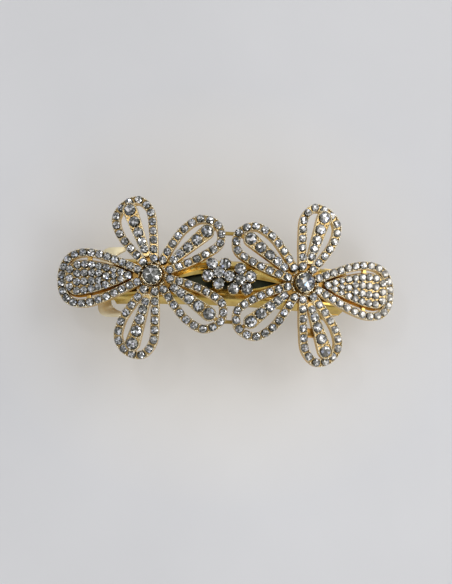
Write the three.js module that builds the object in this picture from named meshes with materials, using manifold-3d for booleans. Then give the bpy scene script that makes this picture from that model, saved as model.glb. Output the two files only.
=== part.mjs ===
// Rhinestone hair clip: an arched metal barrette that carries an ornament of two open-work
// five-petal flowers and a small cluster of stones.
//
// Millimetres, +Z up. +X runs along the clip from the catch to the hinge, +Y runs across it.
// Every piece is first made flat, as it would be stamped or cast, and is then bent over the
// clip's arch. In a flat piece z = 0 is the top face of the plate, or, in the ornament, the
// level at which the stones sit. The last step stands the clip on z = 0 and centres it.
import * as THREE from "three";
import { mergeVertices } from "three/addons/utils/BufferGeometryUtils.js";
import { TessellateModifier } from "three/addons/modifiers/TessellateModifier.js";
import Module from "manifold-3d";

const wasm = await Module();
wasm.setup();

// ---------------------------------------------------------------- driving dimensions
const archRadius = 102; // lengthwise radius, shared by the plate and all that follows it
const domeRadius = 156; // crosswise radius of the ornament alone
const gap = 0.15; // between pieces that rest on each other
const looseGap = 0.3; // between pieces that pass through or beside each other
const longestEdge = 9; // of a triangle that is bent
const bendSteps = 18; // straight lengths that a bent strip is made of

// Top plate: a crowned channel, flat in the middle, whose sides slope down and outwards
const plateOverhang = 12.5; // of the plate past each flower's middle
const plateWidth = 14;
const plateCentreX = 1; // the plate sits this far towards the hinge from the ornament's middle
const sheet = 0.8; // thickness of the stamped metal
const crownWidth = 8.8; // flat middle of the plate
const shoulderWidth = 11.8;
const shoulderDepth = 1.3;
const flangeDepth = 5;
const slotLength = 30;
const slotFar = 2.4; // how far the slot's two sides stand from the plate's middle line
const slotNear = 3;

// Hinge end
const hingeInset = 2.8; // hinge pin's axis from the plate's end
const pinRadius = 0.8;
const pinHoleClearance = 0.1;
const pinHeadRadius = 1.3;
const pinHeadHeight = 0.6;
const knuckleRadius = 1.8;
const lugLength = 5;

// Clasp arm
const armWidth = 9;
const armDepth = 10.8; // from the plate's top to the arm's top
const armNose = 1.6; // bar of metal past the catch window
const windowLead = 1; // from the catch base's end to the legs in the window

// Tension spring: a flat strip riveted at the hinge end
const springWidth = 7;
const springSheet = 0.5;
const springDrop = 1.8; // how much further from the plate the free end stands
const springTail = 1; // strip past the rivet's head

// Catch: a base plate and two pinch ears
const catchReach = 7; // past the plate's end
const catchBaseLength = 14;
const legLength = 4; // along the clip
const legSpread = 4.9; // between the middles of the two legs
const barbReach = 0.7; // how far each barb stands out of its leg
const barbHeight = 1;
const earSpan = 10.8; // from the clip's middle line to the ear's edge
const earTip = 7; // how far the ear sweeps back towards the hinge
const earNeck = 3.4; // the ear's width where its outer corner starts to round
const earRound = 1.4; // size of the rounding at the swept tip

// Rivets
const rivetRadius = 0.9;
const rivetHeadRadius = 1.7;
const rivetHeadHeight = 0.5;
const rivetShankLap = 0.1; // of a rivet's shank into each of its heads

// Ornament
const flowerSpacing = 46; // between the two flowers' middles
const leftTurn = 3.5; // degrees that each flower stands turned on the plate
const rightTurn = 2.1;
const endTurn = -2.2; // degrees that each end petal stands turned in its flower
const ornamentLift = 4.2; // stone level above the plate's top
const loopWidth = 2.5;
const castDepth = 1.8; // thickness of the flower casting
const hubInner = 3.4;
const hubOuter = 6.2;
const hubDrop = 0.9; // of the hub's top below the stone level
const barRise = 1.3; // how far a bar's tip stands above its petal
const panelRise = 0.7;
const strutWidth = 1.2;
const strutDrop = 0.6; // of a strut's top below the stone level
const padRadius = 4;
const bridgeLap = 2.35; // of a bridge under the tip of each petal it joins
const bridgeWidth = 1.1;
const bridgeDepth = 0.8;
const farBridgeY = 14.2; // from the ornament's middle line
const nearBridgeY = -13.3;

// Stones. The cut's proportions are shares of a stone's radius.
const girdleShare = 0.06; // half the girdle's thickness
const crownShare = 0.42; // height of the table above the girdle's middle
const tableShare = 0.58; // radius of the table
const backShare = 0.8; // depth of the point
const centreStoneRadius = 2.85;
const centreStoneLift = 1.3; // its girdle above the stone level
const centreSeatDrop = 0.7; // from its girdle down to the cup's rim
const centreSeatWidth = 0.5; // of the rim under the stone
const clawReach = 0.5; // of a claw's tip above the girdle
const clusterStoneRadius = 1.66;
const clusterStoneLift = 0.5;
const clusterSeatDrop = 0.5;
const clusterSeatWidth = 0.3;
const clusterDepth = 1.6; // of the small cups below the stone level
const clusterOverlap = 0.15; // by which each small cup runs into its neighbour
const clusterStoneGap = 0.08; // between a ring's middle stone and the five round it
const clusterTurn = -16.5; // degrees from +X to the stone that both rings share
const clusterY = 0.3; // the cluster's middle from the ornament's middle line
const clawRadius = 0.36;
const claws = 10;

// ---------------------------------------------------------------- outlines of a flower
// Each petal is drawn in the flower's own plane: the flower's middle at (0, 0), +X towards the
// clip's end and +Y across. A path runs along the middle of its row of stones.
const tallPetal = [
  [2.6, 4.2],
  [6.3, 8.7],
  [9.5, 13.7],
  [10.4, 18.6],
  [7.8, 22.5],
  [3.6, 23.8],
  [0.4, 20.8],
  [-0.5, 14.0],
  [-0.6, 5.1],
];
const inwardPetal = [
  [-3.2, 4.5],
  [-6.2, 9.3],
  [-9.9, 14.0],
  [-15.1, 16.9],
  [-20.1, 14.6],
  [-20.6, 9.4],
  [-16.0, 5.8],
  [-10.5, 3.2],
  [-5.2, 1.4],
];
const endPetalHalf = [
  [4.4, 1.9],
  [9.7, 4.4],
  [14.8, 6.6],
  [20.2, 7.8],
  [24.3, 6.9],
  [26.5, 3.8],
];
const endPetalTip = [27.0, 0];
const endPetal = [
  ...endPetalHalf,
  endPetalTip,
  ...endPetalHalf.map(([x, y]) => [x, -y]).reverse(),
];
// A bar runs from its root to its tip, with a rounded end of the given radius at each.
const tallBar = { root: [1.7, 6.9], tip: [6.0, 20.4], rootRadius: 1.2, tipRadius: 2.2 };
const inwardBar = { root: [-6.4, 4.3], tip: [-16.6, 12.5], rootRadius: 1.2, tipRadius: 2.2 };
// The end petal's panel, from its neck to its tip, half of it.
const panelNeck = 6.2;
const panelHalf = [
  [9.0, 2.0],
  [14.0, 3.8],
  [19.2, 5.1],
  [23.3, 5.0],
  [25.3, 2.6],
];
const panelTip = 25.8;
// Struts between a bar or panel and its petal, as end points. Only one tall petal has one: the
// near one at the hinge end.
const tallStrut = [
  [-0.4, 15.0],
  [4.0, 15.0],
];
const inwardStrut = [
  [-16.6, 12.5],
  [-19.9, 14.8],
];
const panelStrut = [
  [19.0, 4.2],
  [19.0, 7.6],
];

// ---------------------------------------------------------------- materials
const metal = (color, roughness) => new THREE.MeshStandardMaterial({ color, roughness, metalness: 1 });
const gold = metal(0xd9a441, 0.25);
const paleGold = metal(0xe6cf8e, 0.3);
const springSteel = metal(0x2a2b22, 0.4);
const crystal = new THREE.MeshStandardMaterial({ color: 0xdfe4ea, roughness: 0.05, metalness: 0 });

// ---------------------------------------------------------------- solids
function toSolid(geometry) {
  const loose = geometry.index ? geometry.toNonIndexed() : geometry.clone();
  loose.deleteAttribute("normal");
  loose.deleteAttribute("uv");
  const merged = mergeVertices(loose, 1e-4);
  const mesh = new wasm.Mesh({
    numProp: 3,
    vertProperties: merged.attributes.position.array,
    triVerts: new Uint32Array(merged.index.array),
  });
  return new wasm.Manifold(mesh);
}

function toGeometry(solid) {
  const mesh = solid.getMesh();
  const geometry = new THREE.BufferGeometry();
  geometry.setAttribute("position", new THREE.BufferAttribute(mesh.vertProperties, 3));
  geometry.setIndex(new THREE.BufferAttribute(mesh.triVerts, 1));
  return geometry;
}

const join = (geometries) =>
  toGeometry(geometries.map(toSolid).reduce((whole, piece) => whole.add(piece)));

const cut = (geometry, tools) =>
  toGeometry(tools.map(toSolid).reduce((left, tool) => left.subtract(tool), toSolid(geometry)));

// ---------------------------------------------------------------- the arch
// Height and slopes of an arched surface over (x, y). acrossRadius is Infinity on the plate.
function archAt(x, y, acrossRadius) {
  return {
    height: -(x * x) / (2 * archRadius) - (y * y) / (2 * acrossRadius),
    slopeX: -x / archRadius,
    slopeY: -y / acrossRadius,
  };
}

// The point at height z above the arched surface, along the surface's normal.
function overArch(x, y, z, acrossRadius) {
  const { height, slopeX, slopeY } = archAt(x, y, acrossRadius);
  const normal = new THREE.Vector3(-slopeX, -slopeY, 1).normalize();
  return new THREE.Vector3(x, y, height).addScaledVector(normal, z);
}

// Bends a flat piece over the arch.
function bend(geometry, acrossRadius, lift) {
  const bent = geometry.clone();
  const points = bent.attributes.position;
  for (let i = 0; i < points.count; i++) {
    const p = overArch(points.getX(i), points.getY(i), points.getZ(i), acrossRadius);
    points.setXYZ(i, p.x, p.y, p.z + lift);
  }
  return bent;
}
const bendPlate = (geometry) => bend(geometry, Infinity, 0);

// The ornament's outlines have wide faces, so their long triangles are split first.
function bendOrnament(geometry) {
  const loose = geometry.index ? geometry.toNonIndexed() : geometry.clone();
  loose.deleteAttribute("normal");
  loose.deleteAttribute("uv");
  const fine = new TessellateModifier(longestEdge, 12).modify(loose);
  return bend(fine, domeRadius, ornamentLift);
}

// Turns and moves a stiff piece that was made at the origin to its place on the arch.
function placeOnArch(object, x, y, acrossRadius, lift) {
  const { slopeX, slopeY } = archAt(x, y, acrossRadius);
  const normal = new THREE.Vector3(-slopeX, -slopeY, 1).normalize();
  object.quaternion.setFromUnitVectors(new THREE.Vector3(0, 0, 1), normal);
  object.position.copy(overArch(x, y, 0, acrossRadius));
  object.position.z += lift;
  return object;
}

// The same placing, applied to the geometry itself.
function seatOnPlate(geometry, x) {
  const frame = placeOnArch(new THREE.Object3D(), x, 0, Infinity, 0);
  frame.updateMatrix();
  return geometry.clone().applyMatrix4(frame.matrix);
}

// ---------------------------------------------------------------- basic shapes
// A box from its lowest to its highest corner, in steps along X where it will be bent.
function box([x0, y0, z0], [x1, y1, z1], steps = 1) {
  const geometry = new THREE.BoxGeometry(x1 - x0, y1 - y0, z1 - z0, steps);
  return geometry.translate((x0 + x1) / 2, (y0 + y1) / 2, (z0 + z1) / 2);
}

// A flat outline given thickness from z = low to z = high.
function slab(shape, low, high, curveSegments = 8) {
  const geometry = new THREE.ExtrudeGeometry(shape, {
    depth: high - low,
    bevelEnabled: false,
    curveSegments,
  });
  return geometry.translate(0, 0, low);
}

// An upright round bar.
function post(x, y, radius, low, high, sides = 16) {
  const geometry = new THREE.CylinderGeometry(radius, radius, high - low, sides);
  return geometry.rotateX(Math.PI / 2).translate(x, y, (low + high) / 2);
}

// A round bar across the clip, centred on (x, z).
function crossBar(x, z, radius, halfLength, sides = 20) {
  const geometry = new THREE.CylinderGeometry(radius, radius, 2 * halfLength, sides);
  return geometry.translate(x, 0, z);
}

function ringShape(outer, inner) {
  const shape = new THREE.Shape().absarc(0, 0, outer, 0, 2 * Math.PI);
  shape.holes.push(new THREE.Path().absarc(0, 0, inner, 0, 2 * Math.PI));
  return shape;
}

// A strip of metal along a flat path, its top at z = 0.
function strip(points, width, depth, steps) {
  const path = new THREE.CatmullRomCurve3(points.map(([x, y]) => new THREE.Vector3(x, y, 0)));
  const half = width / 2;
  const section = new THREE.Shape();
  section.moveTo(0, -half);
  section.lineTo(depth, -half);
  section.lineTo(depth, half);
  section.lineTo(0, half);
  return new THREE.ExtrudeGeometry(section, { steps, extrudePath: path });
}

// A bar with a round end at its root and a larger one at its tip.
function taperedBar({ root, tip, rootRadius, tipRadius }, depth) {
  const run = new THREE.Vector2(tip[0] - root[0], tip[1] - root[1]);
  const quarter = Math.PI / 2;
  const shape = new THREE.Shape();
  shape.absarc(0, 0, rootRadius, quarter, 3 * quarter);
  shape.absarc(run.length(), 0, tipRadius, -quarter, quarter);
  return slab(shape, -depth, 0).rotateZ(run.angle()).translate(root[0], root[1], 0);
}

// Lifts a flat piece evenly from the flower's middle to `rise` at the distance `reach`.
function tilt(geometry, rise, reach) {
  const points = geometry.attributes.position;
  for (let i = 0; i < points.count; i++) {
    const away = Math.hypot(points.getX(i), points.getY(i));
    points.setZ(i, points.getZ(i) + (rise * away) / reach);
  }
  return geometry;
}

// A brilliant-cut stone with its girdle at z = 0.
function stone(radius, sides) {
  const girdle = girdleShare * radius;
  const table = crownShare * radius;
  const profile = [
    [0, -backShare * radius],
    [radius, -girdle],
    [radius, girdle],
    [tableShare * radius, table],
    [0, table],
  ];
  const points = profile.map(([x, y]) => new THREE.Vector2(x, y));
  return new THREE.LatheGeometry(points, sides).rotateX(Math.PI / 2);
}

// ---------------------------------------------------------------- flower casting
// side is 1 for the flower at the hinge end and -1 for its mirror image at the catch end.
const mirrored = (points, side, far) => points.map(([x, y]) => [side * x, far * y]);

function panel(side) {
  const points = panelHalf.map(([x, y]) => new THREE.Vector2(side * x, y));
  const back = panelHalf.map(([x, y]) => new THREE.Vector2(side * x, -y)).reverse();
  const shape = new THREE.Shape();
  shape.moveTo(side * panelNeck, 0);
  shape.splineThru([...points, new THREE.Vector2(side * panelTip, 0), ...back]);
  shape.closePath();
  const flat = slab(shape, -castDepth + gap, gap, 3);
  return tilt(flat, panelRise, panelTip);
}

function bar(shape, side, far) {
  const [root, tip] = mirrored([shape.root, shape.tip], side, far);
  const flat = taperedBar({ ...shape, root, tip }, castDepth - gap);
  return tilt(flat, barRise, Math.hypot(...shape.tip));
}

function strut(points, side, far) {
  const flat = strip(mirrored(points, side, far), strutWidth, castDepth - strutDrop, 1);
  return flat.translate(0, 0, -strutDrop);
}

function flower(side) {
  const petals = [-1, 1].flatMap((far) => [
    strip(mirrored(tallPetal, side, far), loopWidth, castDepth, 27),
    strip(mirrored(inwardPetal, side, far), loopWidth, castDepth, 27),
    bar(tallBar, side, far),
    bar(inwardBar, side, far),
    strut(inwardStrut, side, far),
  ]);
  const end = [
    strip(mirrored(endPetal, side, 1), loopWidth, castDepth, 35),
    panel(side),
    strut(panelStrut, side, 1),
    strut(panelStrut, side, -1),
  ].map((piece) => piece.rotateZ(THREE.MathUtils.degToRad(endTurn)));
  const hub = slab(ringShape(hubOuter, hubInner), -castDepth - gap, -hubDrop, 10);
  const extra = side > 0 ? [strut(tallStrut, side, -1)] : [];
  return join([hub, ...end, ...petals, ...extra]);
}

// Where a flower's middle stands on the flat ornament, and how far it is turned.
const flowers = [
  { name: "left", side: -1, turn: leftTurn },
  { name: "right", side: 1, turn: rightTurn },
];
const flowerX = (side) => (side * flowerSpacing) / 2;

function placedFlower({ side, turn }) {
  const turned = flower(side).rotateZ(THREE.MathUtils.degToRad(turn));
  return bendOrnament(turned.translate(flowerX(side), 0, 0));
}

// ---------------------------------------------------------------- centre settings
// A cup whose claws hold the flower's large stone, made round the stone's own axis.
const cupInner = centreStoneRadius - centreSeatWidth;
const cupOuter = hubInner - looseGap;
const cupTop = centreStoneLift - centreSeatDrop;

function centreCup() {
  const cup = slab(ringShape(cupOuter, cupInner), -castDepth - gap, cupTop, 10);
  const reach = centreStoneRadius + clawRadius + gap;
  const prongs = Array.from({ length: claws }, (_, i) => {
    const angle = ((i + 0.5) * 2 * Math.PI) / claws;
    const [x, y] = [reach * Math.cos(angle), reach * Math.sin(angle)];
    return post(x, y, clawRadius, -gap, centreStoneLift + clawReach, 6);
  });
  return join([cup, ...prongs]);
}

// ---------------------------------------------------------------- stone cluster
// Two rings of five round a middle stone; the rings share one stone, at the cluster's middle.
const clusterRing = 2 * clusterStoneRadius + clusterStoneGap; // radius of a ring of five stones

function clusterPlaces() {
  const shared = THREE.MathUtils.degToRad(clusterTurn);
  const places = [[0, 0]];
  for (const side of [-1, 1]) {
    const middle = [side * clusterRing * Math.cos(shared), side * clusterRing * Math.sin(shared)];
    places.push(middle);
    for (let i = 1; i < 5; i++) {
      const angle = shared + (side < 0 ? 0 : Math.PI) + (i * 2 * Math.PI) / 5;
      const x = middle[0] + clusterRing * Math.cos(angle);
      const y = middle[1] + clusterRing * Math.sin(angle);
      places.push([x, y]);
    }
  }
  return places;
}
const clusterSeat = clusterStoneLift - clusterSeatDrop; // top of the small cups
const clusterCupInner = clusterStoneRadius - clusterSeatWidth;
const clusterCupOuter = clusterRing / 2 + clusterOverlap;
const stemRadius = clusterCupInner + clusterOverlap;
const clusterStems = [1, 6]; // the places in the middle of each ring

function clusterFrame() {
  const places = clusterPlaces();
  const cups = places.map(([x, y]) =>
    slab(ringShape(clusterCupOuter, clusterCupInner), -clusterDepth, clusterSeat, 6).translate(x, y, 0),
  );
  const stems = clusterStems.map((i) => {
    const [x, y] = places[i];
    return post(x, y, stemRadius, -ornamentLift + gap, -clusterDepth / 2, 12);
  });
  return join([...cups, ...stems]);
}

// ---------------------------------------------------------------- top plate and its fixings
const plateLength = flowerSpacing + 2 * plateOverhang;
const plateStart = plateCentreX - plateLength / 2;
const plateEnd = plateCentreX + plateLength / 2;
const hingeX = plateEnd - hingeInset;
const hingeZ = -armDepth + knuckleRadius - sheet;
const springRivetX = hingeX - lugLength / 2 - rivetHeadRadius - looseGap;
const catchStart = plateStart - catchReach;
const catchEnd = catchStart + catchBaseLength;
const catchRivetX = (plateStart + catchEnd) / 2;
const lugInner = plateWidth / 2 - sheet;

// A long slot with a point at each end. A curve reaches half as far as its middle point.
function lensSlot() {
  const shape = new THREE.Shape();
  shape.moveTo(-slotLength / 2, 0);
  shape.quadraticCurveTo(0, -2 * slotNear, slotLength / 2, 0);
  shape.quadraticCurveTo(0, 2 * slotFar, -slotLength / 2, 0);
  return slab(shape, -2 * sheet, sheet, 10);
}

function topPlate() {
  const half = plateWidth / 2;
  const outside = [
    [crownWidth / 2, 0],
    [shoulderWidth / 2, -shoulderDepth],
    [half, -flangeDepth],
  ];
  const inside = [
    [half - sheet, -flangeDepth],
    [shoulderWidth / 2 - sheet, -shoulderDepth - sheet / 2],
    [crownWidth / 2 - sheet / 2, -sheet],
  ];
  const side = [...outside, ...inside];
  const profile = [...side, ...side.map(([y, z]) => [-y, z]).reverse()];
  const channel = new THREE.Shape(profile.map(([y, z]) => new THREE.Vector2(y, z)));
  const pressed = new THREE.ExtrudeGeometry(channel, {
    depth: plateLength,
    steps: bendSteps,
    bevelEnabled: false,
  });
  pressed.rotateX(Math.PI / 2).rotateZ(Math.PI / 2).translate(plateStart, 0, 0);
  const slotted = bendPlate(
    cut(pressed, [
      lensSlot(),
      post(catchRivetX, 0, rivetRadius + gap, -2 * sheet, sheet),
      post(springRivetX, 0, rivetRadius + gap, -2 * sheet, sheet),
    ]),
  );
  const lugs = [-1, 1].map((far) => {
    const inner = far * lugInner;
    const outer = far * half;
    const low = [-lugLength / 2, Math.min(inner, outer), hingeZ];
    const high = [lugLength / 2, Math.max(inner, outer), -flangeDepth + sheet];
    const round = crossBar(0, hingeZ, lugLength / 2, sheet / 2).translate(0, (inner + outer) / 2, 0);
    return seatOnPlate(join([box(low, high), round]), hingeX);
  });
  const bore = seatOnPlate(crossBar(0, hingeZ, pinRadius + pinHoleClearance, plateWidth), hingeX);
  return cut(join([slotted, ...lugs]), [bore]);
}

// A rivet through the plate, with a head on top and one under `depth` of stacked metal.
function rivet(depth) {
  return join([
    post(0, 0, rivetRadius, -depth - gap - rivetShankLap, gap + rivetShankLap),
    post(0, 0, rivetHeadRadius, gap, gap + rivetHeadHeight),
    post(0, 0, rivetHeadRadius, -depth - gap - rivetHeadHeight, -depth - gap),
  ]);
}

// A pad of solder between the plate and a flower's hub.
function pad({ side }) {
  const top = ornamentLift - castDepth - 2 * gap - gap;
  const flat = post(flowerX(side), 0, padRadius, gap, top, 20);
  return bendPlate(flat);
}

// ---------------------------------------------------------------- hinge pin and clasp arm
function hingePin() {
  const reach = plateWidth / 2 + gap + pinHeadHeight / 2; // to the middle of a head
  const heads = [-1, 1].map((far) =>
    crossBar(0, hingeZ, pinHeadRadius, pinHeadHeight / 2).translate(0, far * reach, 0),
  );
  return seatOnPlate(join([crossBar(0, hingeZ, pinRadius, reach), ...heads]), hingeX);
}

const legX = catchStart + legLength / 2 + windowLead;
const windowHalf = legSpread / 2 + sheet / 2 + barbReach + gap;
const windowStart = legX - legLength / 2 - looseGap;
const windowEnd = legX + legLength / 2 + looseGap;

function claspArm() {
  const top = -armDepth;
  const low = top - sheet;
  const half = armWidth / 2;
  const blade = box([windowStart - armNose, -half, low], [hingeX, half, top], bendSteps);
  const window = box([windowStart, -windowHalf, low - sheet], [windowEnd, windowHalf, top + sheet]);
  const bent = bendPlate(cut(blade, [window]));
  const knuckle = seatOnPlate(crossBar(0, hingeZ, knuckleRadius, half), hingeX);
  const bore = seatOnPlate(crossBar(0, hingeZ, pinRadius + pinHoleClearance, armWidth), hingeX);
  return cut(join([bent, knuckle]), [bore]);
}

// ---------------------------------------------------------------- tension spring
const springStart = catchEnd + looseGap;
const springEnd = springRivetX + rivetHeadRadius + springTail;

function tensionSpring() {
  const top = -sheet - looseGap;
  const half = springWidth / 2;
  const blade = box([springStart, -half, top - springSheet], [springEnd, half, top], bendSteps);
  const hole = post(springRivetX, 0, rivetRadius + looseGap, top - 2 * springSheet, 0);
  const flat = cut(blade, [hole]);
  const points = flat.attributes.position;
  for (let i = 0; i < points.count; i++) {
    const away = Math.max(0, springRivetX - points.getX(i)) / (springRivetX - springStart);
    points.setZ(i, points.getZ(i) - springDrop * away ** 2);
  }
  return bendPlate(flat);
}

// ---------------------------------------------------------------- catch
const catchTop = -sheet - gap;

function catchBase() {
  const half = crownWidth / 2 - sheet / 2 - gap;
  const blade = box([catchStart, -half, catchTop - sheet], [catchEnd, half, catchTop], 4);
  return bendPlate(cut(blade, [post(catchRivetX, 0, rivetRadius + gap, catchTop - 2 * sheet, sheet)]));
}

// A pinch ear, made at the origin below the legs' bend: a leg with a barb at its foot, and a
// tab that passes under the plate's flange and sweeps back to a rounded tip.
const legTop = catchTop - sheet - looseGap;
const barbTop = -armDepth - sheet - looseGap;

function catchEar(far) {
  const inner = legSpread / 2 - sheet / 2;
  const outer = legSpread / 2 + sheet / 2;
  const half = legLength / 2;
  const between = (a, b) => [Math.min(far * a, far * b), Math.max(far * a, far * b)];
  const [legLow, legHigh] = between(inner, outer);
  const leg = box([-half, legLow, barbTop - barbHeight], [half, legHigh, legTop]);
  const root = outer - sheet / 4; // inside the leg, so that what grows from it is joined
  const wedge = new THREE.Shape();
  wedge.moveTo(far * root, barbTop);
  wedge.lineTo(far * (outer + barbReach - gap), barbTop);
  wedge.lineTo(far * root, barbTop - barbHeight);
  const barb = slab(wedge, -half + gap, half - gap);
  barb.rotateX(Math.PI / 2).rotateZ(Math.PI / 2);
  const tabTop = -flangeDepth - looseGap;
  const tab = new THREE.Shape();
  tab.moveTo(-half, far * root);
  tab.lineTo(-half, far * (earSpan - earNeck));
  tab.quadraticCurveTo(-half, far * earSpan, half, far * earSpan);
  tab.lineTo(earTip - earRound, far * earSpan);
  tab.quadraticCurveTo(earTip, far * earSpan, earTip - earRound, far * (earSpan - earRound));
  tab.quadraticCurveTo(half, far * (earSpan - 2 * earRound), half, far * (earSpan - earNeck - earRound));
  tab.lineTo(half, far * root);
  return seatOnPlate(join([leg, barb, slab(tab, tabTop - sheet, tabTop, 5)]), legX);
}

// ---------------------------------------------------------------- assembly
const clip = new THREE.Group();
function add(parent, name, geometry, material) {
  const mesh = new THREE.Mesh(geometry, material);
  mesh.name = name;
  parent.add(mesh);
  return mesh;
}

add(clip, "top_plate", topPlate(), gold);
add(clip, "hinge_pin", hingePin(), gold);
add(clip, "clasp_arm", claspArm(), paleGold);
add(clip, "tension_spring", tensionSpring(), springSteel);
add(clip, "catch_base", catchBase(), paleGold);
add(clip, "catch_ear_far", catchEar(1), paleGold);
add(clip, "catch_ear_near", catchEar(-1), paleGold);
const catchStack = -catchTop + sheet;
const springStack = sheet + looseGap + springSheet + gap;
add(clip, "catch_rivet", seatOnPlate(rivet(catchStack), catchRivetX), gold);
add(clip, "spring_rivet", seatOnPlate(rivet(springStack), springRivetX), gold);
for (const place of flowers) add(clip, `${place.name}_solder_pad`, pad(place), gold);

const ornament = new THREE.Group();
clip.add(ornament);
for (const place of flowers) {
  const x = flowerX(place.side);
  add(ornament, `${place.name}_flower`, placedFlower(place), gold);
  const setting = placeOnArch(new THREE.Group(), x, 0, domeRadius, ornamentLift);
  ornament.add(setting);
  add(setting, `${place.name}_centre_cup`, centreCup(), paleGold);
  const gem = add(setting, `${place.name}_centre_stone`, stone(centreStoneRadius, 16), crystal);
  gem.position.z = centreStoneLift;
}
const inwardReach = Math.max(...inwardPetal.map(([x]) => -x)) + loopWidth / 2;
const bridgeLength = flowerSpacing - 2 * inwardReach + 2 * bridgeLap;
for (const [name, y] of [["far_bridge", farBridgeY], ["near_bridge", nearBridgeY]]) {
  const top = -castDepth - gap;
  const low = [-bridgeLength / 2, y - bridgeWidth / 2, top - bridgeDepth];
  const high = [bridgeLength / 2, y + bridgeWidth / 2, top];
  add(ornament, name, bendOrnament(box(low, high)), gold);
}
const cluster = placeOnArch(new THREE.Group(), 0, clusterY, domeRadius, ornamentLift);
ornament.add(cluster);
add(cluster, "cluster_frame", clusterFrame(), gold);
clusterPlaces().forEach(([x, y], i) => {
  const gem = add(cluster, `cluster_stone_${i + 1}`, stone(clusterStoneRadius, 10), crystal);
  gem.position.set(x, y, clusterStoneLift);
});

// Stand the clip on z = 0 with the middle of its outline at the origin.
const bounds = new THREE.Box3().setFromObject(clip);
const middle = bounds.getCenter(new THREE.Vector3());
clip.position.set(-middle.x, -middle.y, -bounds.min.z);

export default clip;
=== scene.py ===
# %% [markdown]
# # A rhinestone hair clip
# The clip is an arched barrette: a pressed gold plate with a hinged arm and a spring catch under
# it, and on top an ornament of two open-work flowers set with rows of small clear stones. The
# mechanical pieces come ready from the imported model. Here they get their finishes, and everything
# a jeweller adds by hand, the stones, beads, claws and fine edges, is modelled in the same frame.

import math
import random

import bmesh
import bpy
from mathutils import Matrix, Vector


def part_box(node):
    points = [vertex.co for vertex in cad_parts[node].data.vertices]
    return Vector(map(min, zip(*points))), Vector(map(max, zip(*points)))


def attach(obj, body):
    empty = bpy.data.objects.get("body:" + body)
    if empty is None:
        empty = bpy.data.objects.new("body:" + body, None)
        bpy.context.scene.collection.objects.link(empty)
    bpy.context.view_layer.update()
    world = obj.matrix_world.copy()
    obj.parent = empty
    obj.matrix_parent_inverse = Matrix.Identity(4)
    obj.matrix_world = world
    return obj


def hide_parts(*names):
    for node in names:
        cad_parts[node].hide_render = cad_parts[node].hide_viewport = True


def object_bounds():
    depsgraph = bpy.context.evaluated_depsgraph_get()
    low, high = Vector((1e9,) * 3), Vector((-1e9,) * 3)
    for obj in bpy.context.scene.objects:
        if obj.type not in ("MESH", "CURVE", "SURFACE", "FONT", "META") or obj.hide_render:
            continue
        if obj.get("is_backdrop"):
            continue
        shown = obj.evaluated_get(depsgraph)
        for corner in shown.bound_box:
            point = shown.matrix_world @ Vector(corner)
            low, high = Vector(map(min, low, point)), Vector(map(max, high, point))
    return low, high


MM = 0.001
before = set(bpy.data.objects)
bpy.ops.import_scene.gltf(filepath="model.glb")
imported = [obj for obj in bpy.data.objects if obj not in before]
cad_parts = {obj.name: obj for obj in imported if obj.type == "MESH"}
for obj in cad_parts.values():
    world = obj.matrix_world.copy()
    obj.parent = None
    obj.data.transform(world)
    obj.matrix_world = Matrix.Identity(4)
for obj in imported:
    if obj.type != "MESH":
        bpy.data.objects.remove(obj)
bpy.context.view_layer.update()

# %% [markdown]
# ## The arch
# Every piece of the real clip is made flat and then bent over one form, so the same is done here.
# A point is given in the flat ornament, in millimetres, with its height over the level at which
# the stones sit. Bending moves it along the normal of a surface that is arched lengthwise and a
# little domed across. The middle of the form comes from the stone in the middle of the cluster.

# %% Bend a point of the flat ornament over the arch
ARCH_RADIUS = 102
DOME_RADIUS = 156
ORNAMENT_LIFT = 4.2
CLUSTER_Y = 0.3
CLUSTER_STONE_RADIUS = 1.66
CLUSTER_STONE_LIFT = 0.5
CROWN_HEIGHT = 0.42

middle_low, middle_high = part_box("cluster_stone_1")
middle_top = (CLUSTER_STONE_LIFT + CROWN_HEIGHT * CLUSTER_STONE_RADIUS) * MM
stone_level = Vector(
    (
        (middle_low.x + middle_high.x) / 2,
        (middle_low.y + middle_high.y) / 2 - CLUSTER_Y * MM,
        middle_high.z - middle_top,
    )
)
plate_level = stone_level - Vector((0, 0, ORNAMENT_LIFT * MM))


def facing(x, y, dome=DOME_RADIUS):
    return Vector((x / ARCH_RADIUS, y / dome if dome else 0, 1)).normalized()


def over_arch(x, y, z=0.0, dome=DOME_RADIUS, level=stone_level):
    height = -x * x / (2 * ARCH_RADIUS) - (y * y / (2 * dome) if dome else 0)
    return level + (Vector((x, y, height)) + facing(x, y, dome) * z) * MM


def over_plate(x, y, z=0.0):
    return over_arch(x, y, z, None, plate_level)


print("stone level", [round(v / MM, 2) for v in stone_level], "mm")

# %% [markdown]
# ## Camera
# The clip lies on a table and is seen from above and a little in front, through a long lens, so
# both flowers keep nearly the same size. The camera is placed from the middle of the ornament
# along one direction, and a small shift frames the clip above the middle of the picture.

# %% Place the camera
VIEW_RIGHT = Vector((0.99646, 0.03673, 0.07564))
VIEW_UP = Vector((-0.05139, 0.97804, 0.20196))
VIEW_BACK = Vector((-0.06656, -0.20513, 0.97647))
VIEW_DISTANCE = 0.7659

camera_data = bpy.data.cameras.new("long_lens")
camera_data.sensor_width = 36
camera_data.lens = 157.92
camera_data.shift_x = -0.00575
camera_data.shift_y = -0.02542
camera_data.clip_end = 20
camera = bpy.data.objects.new("camera", camera_data)
turned = Matrix((VIEW_RIGHT, VIEW_UP, VIEW_BACK)).transposed().to_4x4()
camera.matrix_world = Matrix.Translation(stone_level + VIEW_BACK * VIEW_DISTANCE) @ turned
bpy.context.scene.collection.objects.link(camera)
bpy.context.scene.camera = camera
bpy.context.scene.view_settings.view_transform = "Standard"
print("camera at", [round(v, 3) for v in camera.location])

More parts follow.
